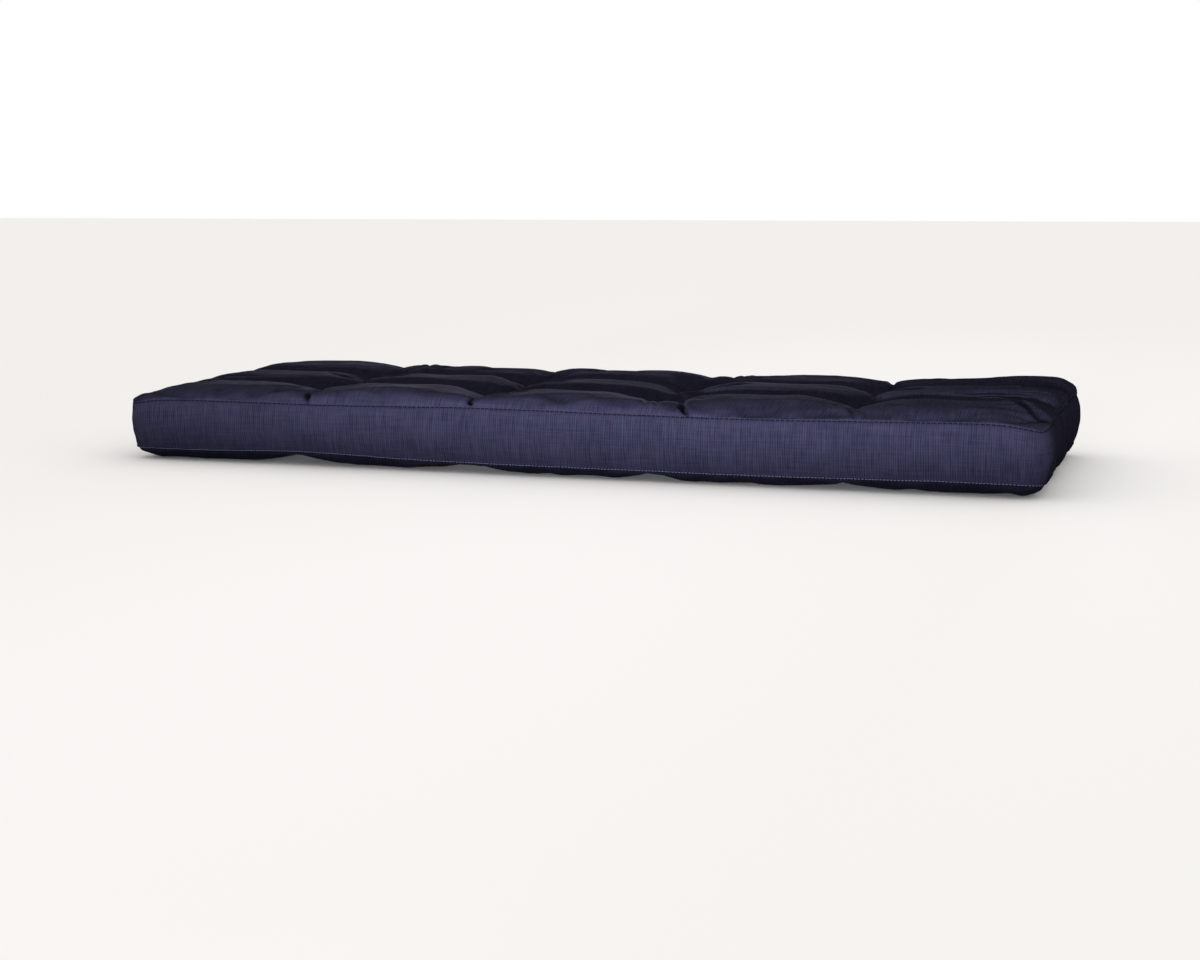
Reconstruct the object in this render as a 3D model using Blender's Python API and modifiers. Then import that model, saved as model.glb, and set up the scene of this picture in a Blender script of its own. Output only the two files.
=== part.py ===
# Tufted bench cushion: one boxed, filled cushion lying flat on its back.
# Metres. +X runs along the cushion, +Y to its back edge, +Z up. The origin is on the surface it lies on,
# under the middle of the cushion.
import math

import bmesh
import bpy

# Driving dimensions
length = 1.084
depth = 0.430
lower_seam_height = 0.0122
upper_seam_height = 0.0758
corner_radius = 0.024

# Fullness: how far the filling pushes the cloth out past the seams
side_roll_width = 0.013    # a tight roll at each seam, then a slow rise to the crests
left_roll_front = 0.062
left_roll_back = 0.028
right_roll_width = 0.020
side_rise = 0.080
left_rise = 0.115
right_rise = 0.060
roll_part = 0.58
roll_overhang = 0.0030
left_bulge_share = 0.5
band_bulge = 0.0050
band_bulge_power = 2.5
lower_tuck = 0.0045        # the lower seam is drawn in under the band
lower_tuck_power = 2.0
left_lean = 0.0040
right_lean = 0.0030
belly_press = 0.0060       # how far below the surface the underside would hang if it weren't pressed flat
belly_side_width = 0.120
belly_end_width = 0.030
seam_dip_at_corner = 0.006
seam_dip_reach = 0.030

# The seams don't run level: here they ride up or sag
seam_waves = [
    {"along": -0.520, "reach": 0.080, "upper": -0.0015, "lower": 0.0008},
    {"along": -0.310, "reach": 0.115, "upper": -0.0012, "lower": 0.0044},
    {"along": -0.070, "reach": 0.130, "upper": 0.0018, "lower": 0.0000},
    {"along": 0.470, "reach": 0.150, "upper": 0.0040, "lower": 0.0030},
]

# Crest heights above the surface, along the cushion: one row a pillow, and one at the full right end
crest_heights = [
    {"along": -0.440, "front": 0.0915, "middle": 0.0935, "back": 0.0945},
    {"along": -0.224, "front": 0.0948, "middle": 0.0946, "back": 0.0920},
    {"along": -0.004, "front": 0.0930, "middle": 0.0940, "back": 0.0943},
    {"along": 0.216, "front": 0.0952, "middle": 0.0965, "back": 0.0930},
    {"along": 0.400, "front": 0.0960, "middle": 0.0980, "back": 0.0935},
    {"along": 0.510, "front": 0.0960, "middle": 0.1000, "back": 0.1025},
]
crest_spread = {"long": 0.085, "deep": 0.060}

# Tufts: four columns in two rows, drawn through from top to bottom. Each column's furrow veers aside and
# fades on its way to the front and back seams (given as front, back), and may have a shelf on its left.
# Underneath, each column has its own drop and reach
tuft_columns = [
    {"along": -0.334, "veers": (0.027, -0.022), "shelf": 0.000, "drop": 0.0125,
     "fades": (0.72, 0.60), "under_drop": 0.0155, "under_reach": 0.095},
    {"along": -0.114, "veers": (0.015, -0.026), "shelf": 0.004, "drop": 0.0125,
     "fades": (0.72, 0.88), "under_drop": 0.0160, "under_reach": 0.096},
    {"along": 0.106, "veers": (0.034, 0.000), "shelf": 0.028, "drop": 0.0120,
     "fades": (0.72, 0.68), "under_drop": 0.0130, "under_reach": 0.060},
    {"along": 0.326, "veers": (0.011, -0.003), "shelf": 0.006, "drop": 0.0120,
     "fades": (0.72, 0.42), "under_drop": 0.0090, "under_reach": 0.108},
]
tuft_rows = [-0.072, 0.072]
veer_start = 0.072         # from here towards a seam, a furrow veers aside
veer_end = 0.190
fade_start = 0.105         # and every furrow grows shallow before it meets a seam
fade_end = 0.185
row_fade_start = 0.410     # as the long furrows do towards the ends
row_fade_end = 0.520
row_fade_left = 0.75
row_fade_right = 0.30
column_reach = 0.064
row_reach = 0.052
row_drop = 0.0070
under_row_drop = 0.0100
tuft_pinch = 0.011
under_tuft_pinch = 0.012
tuft_pinch_reach = 0.052
tuft_sharpness = 0.75
side_draw = 0.0030
side_draw_reach = 0.070

# Cage lines beside each edge and each tuft, and lines shared out over each pillow
edge_lines = [0.004, 0.014, 0.034]
tuft_lines_along = [0.014, 0.040]
tuft_lines_deep = [0.018]
lines_per_pillow = 1
band_lines = 2
smooth_levels = 1

cloth_colour = (0.010, 0.010, 0.024, 1.0)
cloth_roughness = 0.85
cloth_sheen = 0.25

touch = 1e-6               # two heights or places closer than this are the same
at_tuft = 1e-5             # a cage point closer than this to a tuft is the tuft
level_normal = 0.5         # a face whose normal rises or falls more than this belongs to a panel


def clear_scene():
    for thing in list(bpy.data.objects):
        bpy.data.objects.remove(thing)


def clamp(value):
    return min(max(value, 0.0), 1.0)


def cusp(distance, reach):
    # 1 in a furrow's bottom, falling to 0 at its reach, with a V at the bottom
    return max(0.0, 1.0 - abs(distance) / reach) ** 2


def smooth_step(value, start, end):
    share = clamp((value - start) / (end - start))
    return share * share * (3.0 - 2.0 * share)


def nearest_column(x):
    return min(tuft_columns, key=lambda column: abs(x - column["along"]))


def from_row(y):
    # distance from the nearer row of tufts
    return min(abs(y - row) for row in tuft_rows)


def roll_share(x, y, end_width, side_width):
    # 0 on the seam, 1 from the roll's width inward, rounded where an end meets a side
    along_x = clamp((length / 2 - abs(x)) / end_width)
    along_y = clamp((depth / 2 - abs(y)) / side_width)
    return clamp(1.0 - math.hypot(1.0 - along_x, 1.0 - along_y))


def arc_rise(share):
    # quarter-ellipse profile of a full edge
    return math.sqrt(1.0 - (1.0 - share) ** 2)


def crest_height(x, y):
    # blended from pillow to pillow
    middles = {"front": -depth / 3, "middle": 0.0, "back": depth / 3}
    total = 0.0
    weights = 0.0
    for crest in crest_heights:
        aside = (x - crest["along"]) / crest_spread["long"]
        for row_name, middle in middles.items():
            behind = (y - middle) / crest_spread["deep"]
            weight = math.exp(-aside ** 2 - behind ** 2)
            total += weight * crest[row_name]
            weights += weight
    return total / weights


def top_draw(x, y):
    # how far the furrows and the tufts draw the top cloth in at a point
    column = nearest_column(x)
    aside = x - column["along"]
    front_veer, back_veer = column["veers"]
    beside = aside - front_veer * smooth_step(-y, veer_start, veer_end)
    beside -= back_veer * smooth_step(y, veer_start, veer_end)
    from_furrow = beside if beside > 0.0 else max(0.0, -beside - column["shelf"])
    front_fade, back_fade = column["fades"]
    fade = front_fade if y < 0.0 else back_fade
    depth_share = 1.0 - fade * smooth_step(abs(y), fade_start, fade_end)
    drawn = depth_share * column["drop"] * cusp(from_furrow, column_reach)
    row_fade = row_fade_left if x < 0.0 else row_fade_right
    row_share = 1.0 - row_fade * smooth_step(abs(x), row_fade_start, row_fade_end)
    drawn += row_share * row_drop * cusp(from_row(y), row_reach)
    return drawn + tuft_pinch * cusp(math.hypot(aside, from_row(y)), tuft_pinch_reach)


def under_draw(x, y):
    # the same for the cloth underneath, which they lift off the surface
    column = nearest_column(x)
    aside = x - column["along"]
    drawn = column["under_drop"] * cusp(aside, column["under_reach"])
    drawn += under_row_drop * cusp(from_row(y), row_reach)
    return drawn + under_tuft_pinch * cusp(math.hypot(aside, from_row(y)), tuft_pinch_reach)


def seam_ride(x, seam_name):
    ride = 0.0
    for wave in seam_waves:
        ride += wave[seam_name] * math.exp(-((x - wave["along"]) / wave["reach"]) ** 2)
    return ride


def upper_seam(x, y):
    # sags a little towards each corner
    to_corner = math.hypot(length / 2 - abs(x), depth / 2 - abs(y))
    dip = seam_dip_at_corner * math.exp(-(to_corner / seam_dip_reach) ** 2)
    return upper_seam_height + seam_ride(x, "upper") - dip


def lower_seam(x):
    return lower_seam_height + seam_ride(x, "lower")


def round_corner(x, y):
    # move a point of the square-cornered outline onto the rounded one
    in_x = abs(x) - (length / 2 - corner_radius)
    in_y = abs(y) - (depth / 2 - corner_radius)
    if in_x <= 0.0 or in_y <= 0.0:
        return x, y
    scale = max(in_x, in_y) / math.hypot(in_x, in_y)
    new_x = length / 2 - corner_radius + in_x * scale
    new_y = depth / 2 - corner_radius + in_y * scale
    return math.copysign(new_x, x), math.copysign(new_y, y)


def shape_side(x, y, push, tuck):
    # push a point near the edge straight out, tuck it in under the long sides, and pull it in at the end
    # of each furrow
    near_side = smooth_step(abs(y), depth / 2 - side_draw_reach, depth / 2)
    near_end = smooth_step(abs(x), length / 2 - side_draw_reach, length / 2)
    if x < 0.0:
        push *= 1.0 - (1.0 - left_bulge_share) * near_end
    draw_y = side_draw * cusp(x - nearest_column(x)["along"], column_reach) * near_side
    draw_x = side_draw * cusp(from_row(y), row_reach) * near_end
    in_x = max(0.0, abs(x) - (length / 2 - corner_radius)) / corner_radius
    in_y = max(0.0, abs(y) - (depth / 2 - corner_radius)) / corner_radius
    outward = max(math.hypot(in_x, in_y), touch)
    x, y = round_corner(x, y)
    x += math.copysign(1.0, x) * (push * in_x / outward - draw_x)
    y += math.copysign(1.0, y) * ((push - tuck) * in_y / outward - draw_y)
    return x, y


def top_point(x, y):
    left_width = left_roll_front + (left_roll_back - left_roll_front) * (y / depth + 0.5)
    roll = arc_rise(roll_share(x, y, left_width if x < 0.0 else right_roll_width, side_roll_width))
    slow = roll_share(x, y, left_rise if x < 0.0 else right_rise, side_rise)
    rise = roll_part * roll + (1.0 - roll_part) * slow * (2.0 - slow)
    seam = upper_seam(x, y)
    fullness = crest_height(x, y) - seam - top_draw(x, y)
    x, y = shape_side(x, y, roll_overhang * math.sin(math.pi * roll), 0.0)
    return x, y, seam + rise * fullness


def bottom_point(x, y):
    rise = arc_rise(clamp((length / 2 - abs(x)) / belly_end_width))
    rise *= arc_rise(clamp((depth / 2 - abs(y)) / belly_side_width))
    seam = lower_seam(x)
    fullness = seam + belly_press - under_draw(x, y)
    x, y = shape_side(x, y, 0.0, lower_tuck)
    return x, y, seam - rise * fullness


def band_point(x, y, share):
    # share runs from 0 at the lower seam to 1 at the upper seam
    z = lower_seam(x) + (upper_seam(x, y) - lower_seam(x)) * share
    bulge = band_bulge * (1.0 - abs(2.0 * share - 1.0) ** band_bulge_power)
    x, y = shape_side(x, y, bulge, lower_tuck * (1.0 - share) ** lower_tuck_power)
    return x, y, z


def lean_end(x, z):
    # the ends stand out a little further at the upper seam than at the lower
    height_share = (z - lower_seam_height) / (upper_seam_height - lower_seam_height)
    near_end = smooth_step(abs(x), length / 2 - side_draw_reach, length / 2)
    if x < 0.0:
        return x - left_lean * height_share * near_end
    return x + right_lean * (height_share - 1.0) * near_end


def cage_places(size, tufts, tuft_lines):
    # where the cage is sliced along one direction of the cushion
    places = list(tufts)
    for inward in edge_lines:
        places += [inward - size / 2, size / 2 - inward]
    for aside in tuft_lines:
        places += [tuft - aside for tuft in tufts]
        places += [tuft + aside for tuft in tufts]
    starts = [edge_lines[-1] - size / 2] + [tuft + tuft_lines[-1] for tuft in tufts]
    ends = [tuft - tuft_lines[-1] for tuft in tufts] + [size / 2 - edge_lines[-1]]
    for start, end in zip(starts, ends):
        step = (end - start) / (lines_per_pillow + 1)
        places += [start + step * (index + 1) for index in range(lines_per_pillow)]
    return sorted(places)


def slice_cage(bm, axis, places):
    for place in places:
        point = [0.0, 0.0, 0.0]
        normal = [0.0, 0.0, 0.0]
        point[axis] = place
        normal[axis] = 1.0
        geometry = bm.verts[:] + bm.edges[:] + bm.faces[:]
        bmesh.ops.bisect_plane(bm, geom=geometry, dist=touch, plane_co=point, plane_no=normal)


def build_box(bm):
    # the square-cornered box between the two seams, sliced into a cage
    band_height = upper_seam_height - lower_seam_height
    bmesh.ops.create_cube(bm, size=1.0)
    bmesh.ops.scale(bm, vec=(length, depth, band_height), verts=bm.verts[:])
    bmesh.ops.translate(bm, vec=(0.0, 0.0, lower_seam_height + band_height / 2), verts=bm.verts[:])
    columns = [column["along"] for column in tuft_columns]
    slice_cage(bm, 0, cage_places(length, columns, tuft_lines_along))
    slice_cage(bm, 1, cage_places(depth, tuft_rows, tuft_lines_deep))
    band_step = band_height / (band_lines + 1)
    slice_cage(bm, 2, [lower_seam_height + band_step * (index + 1) for index in range(band_lines)])


def mark_seams(bm):
    crease = bm.edges.layers.float.new("crease_edge")
    for edge in bm.edges:
        level_faces = [face for face in edge.link_faces if abs(face.normal.z) > level_normal]
        if len(level_faces) == 1:
            edge[crease] = 1.0


def shape_cage(bm):
    sharp_point = bm.verts.layers.float.new("crease_vert")
    for vert in bm.verts:
        x, y, z = vert.co
        to_tuft = math.hypot(x - nearest_column(x)["along"], from_row(y))
        if z > upper_seam_height - touch:
            x, y, z = top_point(x, y)
        elif z < lower_seam_height + touch:
            x, y, z = bottom_point(x, y)
        else:
            x, y, z = band_point(x, y, (z - lower_seam_height) / (upper_seam_height - lower_seam_height))
        vert.co = (lean_end(x, z), y, z)
        if to_tuft < at_tuft:
            vert[sharp_point] = tuft_sharpness


def build_cage(collection):
    bm = bmesh.new()
    build_box(bm)
    bm.normal_update()
    mark_seams(bm)
    shape_cage(bm)
    mesh = bpy.data.meshes.new("cushion")
    bm.to_mesh(mesh)
    bm.free()
    cushion = bpy.data.objects.new("cushion", mesh)
    collection.objects.link(cushion)
    smooth = cushion.modifiers.new("soft form", "SUBSURF")
    smooth.levels = smooth_levels
    smooth.render_levels = smooth_levels
    return cushion


def press_flat(cushion):
    # lying down flattens each pillow of the underside where it meets the surface
    cage = cushion.data
    evaluated = cushion.evaluated_get(bpy.context.evaluated_depsgraph_get())
    pressed = bpy.data.meshes.new_from_object(evaluated)
    for vert in pressed.vertices:
        vert.co.z = max(vert.co.z, 0.0)
    cushion.modifiers.clear()
    cushion.data = pressed
    bpy.data.meshes.remove(cage)
    pressed.name = "cushion"
    pressed.shade_smooth()


def make_cloth():
    cloth = bpy.data.materials.new("navy canvas")
    cloth.use_nodes = True
    shader = cloth.node_tree.nodes["Principled BSDF"]
    shader.inputs["Base Color"].default_value = cloth_colour
    shader.inputs["Roughness"].default_value = cloth_roughness
    shader.inputs["Metallic"].default_value = 0.0
    shader.inputs["Sheen Weight"].default_value = cloth_sheen
    return cloth


def main():
    clear_scene()
    collection = bpy.data.collections.new("bench cushion")
    bpy.context.scene.collection.children.link(collection)
    cushion = build_cage(collection)
    press_flat(cushion)
    cushion.data.materials.append(make_cloth())


main()
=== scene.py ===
import math

import bmesh
import bpy
import numpy as np
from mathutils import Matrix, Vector, noise


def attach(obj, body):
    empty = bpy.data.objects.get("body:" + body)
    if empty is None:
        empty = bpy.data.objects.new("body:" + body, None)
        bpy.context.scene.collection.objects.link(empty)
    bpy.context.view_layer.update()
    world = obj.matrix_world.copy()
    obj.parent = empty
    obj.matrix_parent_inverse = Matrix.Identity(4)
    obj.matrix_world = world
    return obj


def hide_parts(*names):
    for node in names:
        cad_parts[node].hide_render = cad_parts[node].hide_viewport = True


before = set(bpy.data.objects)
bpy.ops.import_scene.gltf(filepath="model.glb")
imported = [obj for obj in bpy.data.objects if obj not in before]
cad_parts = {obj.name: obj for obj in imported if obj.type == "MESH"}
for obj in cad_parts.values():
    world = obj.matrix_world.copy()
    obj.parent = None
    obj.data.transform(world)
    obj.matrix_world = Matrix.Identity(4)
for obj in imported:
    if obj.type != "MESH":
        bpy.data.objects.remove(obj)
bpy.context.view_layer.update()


# the cushion's form, in metres: box coordinates run over the flat sewn box, then fullness is added
form = {
    "length": 1.084,
    "depth": 0.430,
    "lowerSeam": 0.0122,
    "upperSeam": 0.0758,
    "cornerRadius": 0.024,
    "sideRoll": 0.013,            # a tight roll at each seam, then a slow rise to the crests
    "leftRollFront": 0.062,
    "leftRollBack": 0.028,
    "rightRoll": 0.020,
    "sideRise": 0.080,
    "leftRise": 0.115,
    "rightRise": 0.060,
    "rollPart": 0.70,
    "rollPartLeft": 0.34,         # at the front, both end pillows lie flatter behind the seam
    "rollPartRight": 0.10,
    "flatFront": (0.0, 0.12),     # where that flatness comes on: forwards, to the left and to the right
    "flatLeft": (0.24, 0.42),
    "flatRight": (0.02, 0.26),
    "rightSlack": 0.034,
    "rollOverhang": 0.0030,
    "bandBulge": 0.0050,
    "leftBulgeShare": 0.5,        # the left end is flatter, and leans out at the top
    "leftLean": 0.0040,
    "bandBulgePower": 2.5,
    "lowerTuck": 0.0045,          # the lower seam is drawn in under the band
    "lowerTuckPower": 2.0,
    "rightLean": 0.0030,
    "bellyPress": 0.0060,         # pressed flat by lying down
    "bellySide": 0.120,
    "bellyEnd": 0.030,
    "cornerDip": 0.006,
    "cornerDipReach": 0.030,
    "seamWaves": [
        {"along": -0.520, "reach": 0.080, "upper": -0.0015, "lower": 0.0008},
        {"along": -0.310, "reach": 0.115, "upper": -0.0012, "lower": 0.0044},
        {"along": -0.070, "reach": 0.130, "upper": 0.0018, "lower": 0.0000},
        {"along": 0.470, "reach": 0.150, "upper": 0.0040, "lower": 0.0030},
    ],
    "crests": [                   # one a pillow, and one at the full right end
        {"along": -0.440, "front": 0.0885, "middle": 0.0900, "back": 0.0922},
        {"along": -0.224, "front": 0.0918, "middle": 0.0912, "back": 0.0885},
        {"along": -0.004, "front": 0.0900, "middle": 0.0905, "back": 0.0902},
        {"along": 0.216, "front": 0.0922, "middle": 0.0932, "back": 0.0895},
        {"along": 0.400, "front": 0.0932, "middle": 0.0952, "back": 0.0898},
        {"along": 0.510, "front": 0.0935, "middle": 0.0985, "back": 0.1018},
    ],
    "crestSpreadLong": 0.085,
    "crestSpreadDeep": 0.060,
    "tufts": [                    # columns, each with a tuft on both rows
        {"along": -0.334, "veers": (0.027, -0.022), "shelf": 0.000, "drop": 0.0125,
         "fades": (0.72, 0.60), "underDrop": 0.0155, "underReach": 0.095},
        {"along": -0.114, "veers": (0.015, -0.026), "shelf": 0.004, "drop": 0.0125,
         "fades": (0.72, 0.88), "underDrop": 0.0160, "underReach": 0.096},
        {"along": 0.106, "veers": (0.034, 0.000), "shelf": 0.028, "drop": 0.0120,
         "fades": (0.72, 0.68), "underDrop": 0.0130, "underReach": 0.060},
        {"along": 0.326, "veers": (0.011, -0.003), "shelf": 0.006, "drop": 0.0120,
         "fades": (0.72, 0.42), "underDrop": 0.0090, "underReach": 0.108},
    ],
    "veerStart": 0.072,           # a furrow veers aside between its tuft and the front or back seam
    "veerEnd": 0.190,
    "fadeStart": 0.105,           # and every furrow grows shallow before it meets a seam
    "fadeEnd": 0.185,
    "rowFadeStart": 0.410,        # the long furrows grow shallow towards the ends
    "rowFadeEnd": 0.520,
    "rowFadeLeft": 0.75,
    "rowFadeRight": 0.30,
    "tuftRows": [-0.072, 0.072],
    "columnReach": 0.064,
    "rowReach": 0.052,
    "rowDrop": 0.0070,
    "underRowDrop": 0.0100,
    "tuftPinch": 0.011,
    "underTuftPinch": 0.012,
    "pinchReach": 0.052,
    "sideDraw": 0.0030,
    "sideDrawReach": 0.070,
}

halfLength = form["length"] / 2
halfDepth = form["depth"] / 2
bandHeight = form["upperSeam"] - form["lowerSeam"]
rimSlip = 1e-5                    # points this near the rim of the flat box lie on it
panelSlip = 1e-4                  # the same for the height share, which is 1 on the top panel and 0 below
tiny = 1e-6


def bell(value, middle, width):
    return np.exp(-((value - middle) / width) ** 2)


def cusp(distance, reach):
    return np.maximum(0.0, 1.0 - np.abs(distance) / reach) ** 2


def smoothStep(value, start, end):
    share = np.clip((value - start) / (end - start), 0.0, 1.0)
    return share * share * (3.0 - 2.0 * share)


def onTop(share):
    return share > 1.0 - panelSlip


def onBottom(share):
    return share < panelSlip


def seamDistance(box):
    # how far a point lies in from the rim of the flat box
    return np.minimum(halfLength - np.abs(box[:, 0]), halfDepth - np.abs(box[:, 1]))


def nearestTuft(x):
    places = np.array([tuft["along"] for tuft in form["tufts"]])
    nearest = np.abs(x[:, None] - places).argmin(axis=1)
    return {key: np.array([tuft[key] for tuft in form["tufts"]])[nearest] for key in form["tufts"][0]}


def fromRow(y):
    return np.minimum(*[np.abs(y - row) for row in form["tuftRows"]])


def fromTuft(x, y):
    return np.hypot(x - nearestTuft(x)["along"], fromRow(y))


def rollShare(x, y, endWidth, sideWidth):
    shareX = np.clip((halfLength - np.abs(x)) / endWidth, 0.0, 1.0)
    shareY = np.clip((halfDepth - np.abs(y)) / sideWidth, 0.0, 1.0)
    return np.clip(1.0 - np.hypot(1.0 - shareX, 1.0 - shareY), 0.0, 1.0)


def arcRise(share):
    return np.sqrt(1.0 - (1.0 - share) ** 2)


def crestHeight(x, y):
    middles = {"front": -form["depth"] / 3, "middle": 0.0, "back": form["depth"] / 3}
    total = np.zeros_like(x)
    weights = np.zeros_like(x)
    for crest in form["crests"]:
        for rowName, middle in middles.items():
            aside = (x - crest["along"]) / form["crestSpreadLong"]
            behind = (y - middle) / form["crestSpreadDeep"]
            weight = np.exp(-aside ** 2 - behind ** 2)
            total += weight * crest[rowName]
            weights += weight
    return total / weights


def topDraw(x, y):
    # how far the furrows and tufts draw the top panel down
    tuft = nearestTuft(x)
    aside = x - tuft["along"]
    frontVeer, backVeer = tuft["veers"].T
    beside = aside - frontVeer * smoothStep(-y, form["veerStart"], form["veerEnd"])
    beside -= backVeer * smoothStep(y, form["veerStart"], form["veerEnd"])
    fromFurrow = np.where(beside > 0.0, beside, np.maximum(0.0, -beside - tuft["shelf"]))
    frontFade, backFade = tuft["fades"].T
    fade = np.where(y < 0.0, frontFade, backFade)
    depthShare = 1.0 - fade * smoothStep(np.abs(y), form["fadeStart"], form["fadeEnd"])
    drawn = depthShare * tuft["drop"] * cusp(fromFurrow, form["columnReach"])
    rowFade = np.where(x < 0.0, form["rowFadeLeft"], form["rowFadeRight"])
    rowShare = 1.0 - rowFade * smoothStep(np.abs(x), form["rowFadeStart"], form["rowFadeEnd"])
    drawn += rowShare * form["rowDrop"] * cusp(fromRow(y), form["rowReach"])
    return drawn + form["tuftPinch"] * cusp(fromTuft(x, y), form["pinchReach"])


def underDraw(x, y):
    tuft = nearestTuft(x)
    drawn = tuft["underDrop"] * cusp(x - tuft["along"], tuft["underReach"])
    drawn += form["underRowDrop"] * cusp(fromRow(y), form["rowReach"])
    return drawn + form["underTuftPinch"] * cusp(fromTuft(x, y), form["pinchReach"])


def seamRide(x, seamName):
    return sum(wave[seamName] * bell(x, wave["along"], wave["reach"]) for wave in form["seamWaves"])


def upperSeam(x, y):
    toCorner = np.hypot(halfLength - np.abs(x), halfDepth - np.abs(y))
    dip = form["cornerDip"] * bell(toCorner, 0.0, form["cornerDipReach"])
    return form["upperSeam"] + seamRide(x, "upper") - dip


def lowerSeam(x):
    return form["lowerSeam"] + seamRide(x, "lower")


def shapeSide(x, y, push, tuck):
    nearSide = smoothStep(np.abs(y), halfDepth - form["sideDrawReach"], halfDepth)
    nearEnd = smoothStep(np.abs(x), halfLength - form["sideDrawReach"], halfLength)
    drawY = form["sideDraw"] * cusp(x - nearestTuft(x)["along"], form["columnReach"]) * nearSide
    drawX = form["sideDraw"] * cusp(fromRow(y), form["rowReach"]) * nearEnd
    radius = form["cornerRadius"]
    inX = np.maximum(0.0, np.abs(x) - (halfLength - radius)) / radius
    inY = np.maximum(0.0, np.abs(y) - (halfDepth - radius)) / radius
    outward = np.maximum(np.hypot(inX, inY), tiny)
    rounding = np.where((inX > 0.0) & (inY > 0.0), np.maximum(inX, inY) / outward, 1.0)
    roundX = np.where(rounding < 1.0, halfLength - radius + inX * radius * rounding, np.abs(x))
    roundY = np.where(rounding < 1.0, halfDepth - radius + inY * radius * rounding, np.abs(y))
    return (np.sign(x) * (roundX + push * inX / outward - drawX),
            np.sign(y) * (roundY + (push - tuck) * inY / outward - drawY))


def riseShare(x, y, roll):
    # from 0 at the upper seam to 1 on the crests: part of it a tight roll, part a slow rise
    inFront = smoothStep(-y, *form["flatFront"])
    leftShare = inFront * smoothStep(-x, *form["flatLeft"])
    rightShare = inFront * smoothStep(x, *form["flatRight"])
    sideRise = form["sideRise"] + form["rightSlack"] * rightShare
    slow = rollShare(x, y, np.where(x < 0.0, form["leftRise"], form["rightRise"]), sideRise)
    rollPart = form["rollPart"] + (form["rollPartLeft"] - form["rollPart"]) * leftShare
    rollPart += (form["rollPartRight"] - form["rollPart"]) * rightShare
    return rollPart * roll + (1.0 - rollPart) * slow * (2.0 - slow)


def shapeBox(box):
    # box: x and y on the flat sewn box, z from 0 on the bottom panel to 1 on the top panel
    x, y, share = box.T
    rollGain = form["leftRollBack"] - form["leftRollFront"]
    leftRoll = form["leftRollFront"] + rollGain * (y / form["depth"] + 0.5)
    roll = arcRise(rollShare(x, y, np.where(x < 0.0, leftRoll, form["rightRoll"]), form["sideRoll"]))
    rise = riseShare(x, y, roll)
    upper = upperSeam(x, y)
    lower = lowerSeam(x)
    sink = arcRise(np.clip((halfLength - np.abs(x)) / form["bellyEnd"], 0.0, 1.0))
    sink *= arcRise(np.clip((halfDepth - np.abs(y)) / form["bellySide"], 0.0, 1.0))
    bandPush = form["bandBulge"] * (1.0 - np.abs(2.0 * share - 1.0) ** form["bandBulgePower"])
    isTop = onTop(share)
    isBottom = onBottom(share)
    push = np.where(isTop, form["rollOverhang"] * np.sin(math.pi * roll), np.where(isBottom, 0.0, bandPush))
    tuck = form["lowerTuck"] * (1.0 - share) ** form["lowerTuckPower"]
    z = lower + (upper - lower) * share
    z = np.where(isTop, upper + rise * (crestHeight(x, y) - upper - topDraw(x, y)), z)
    z = np.where(isBottom, lower - sink * (lower + form["bellyPress"] - underDraw(x, y)), z)
    nearEnd = smoothStep(np.abs(x), halfLength - form["sideDrawReach"], halfLength)
    push *= np.where(x < 0.0, 1.0 - (1.0 - form["leftBulgeShare"]) * nearEnd, 1.0)
    shapedX, shapedY = shapeSide(x, y, push, tuck)
    heightShare = (z - form["lowerSeam"]) / bandHeight
    lean = np.where(x < 0.0, form["leftLean"] * heightShare, form["rightLean"] * (heightShare - 1.0))
    shapedX += np.sign(x) * lean * nearEnd
    return np.stack([shapedX, shapedY, np.maximum(z, 0.0)], axis=1)


# the sewn box as a mesh: two panels and a band, with closer rows at the seams and tufts
sewnBox = {
    "panelStep": 0.0086,
    "tuftStep": 0.0040,           # closer rows about each tuft column, where the creases are
    "tuftLeft": 0.024,
    "tuftRight": 0.054,
    "seamInset": 0.0040,
    "seamCuts": 2,
    "bandRows": 9,
}


def spread(anchors, step):
    places = [anchors[0]]
    for start, end in zip(anchors, anchors[1:]):
        count = max(1, math.ceil((end - start) / step - tiny))
        places += [start + (end - start) * (index + 1) / count for index in range(count)]
    return places


def rowPlaces():
    places = [-halfLength]
    last = sewnBox["seamInset"] - halfLength
    for tuft in form["tufts"]:
        left = tuft["along"] - sewnBox["tuftLeft"]
        right = tuft["along"] + sewnBox["tuftRight"]
        places += spread([last, left], sewnBox["panelStep"])[:-1]
        places += spread([left, tuft["along"], right], sewnBox["tuftStep"])[:-1]
        last = right
    return places + spread([last, halfLength - sewnBox["seamInset"]], sewnBox["panelStep"]) + [halfLength]


def depthPlaces():
    inset = sewnBox["seamInset"]
    anchors = [inset - halfDepth] + form["tuftRows"] + [halfDepth - inset]
    return [-halfDepth] + spread(anchors, sewnBox["panelStep"]) + [halfDepth]


def addPanel(bm, places, depths, height):
    before = len(bm.verts)
    bmesh.ops.create_grid(bm, x_segments=len(places) - 1, y_segments=len(depths) - 1, size=1.0)
    bm.verts.ensure_lookup_table()
    for index, vert in enumerate(bm.verts[before:]):
        vert.co = (places[index % len(places)], depths[index // len(places)], height)


def inFixedOrder(bm):
    # the mesh tools leave faces in any order, and the filling settles by it, so here they are sorted
    bm.verts.index_update()
    rings = [[vert.index for vert in face.verts] for face in bm.faces]
    rings = [min(ring, ring[2:] + ring[:2]) for ring in rings]    # both starts give the same diagonal
    ordered = bmesh.new()
    verts = [ordered.verts.new(vert.co) for vert in bm.verts]
    for ring in sorted(rings):
        ordered.faces.new([verts[index] for index in ring])
    ordered.normal_update()
    bm.free()
    return ordered


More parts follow.
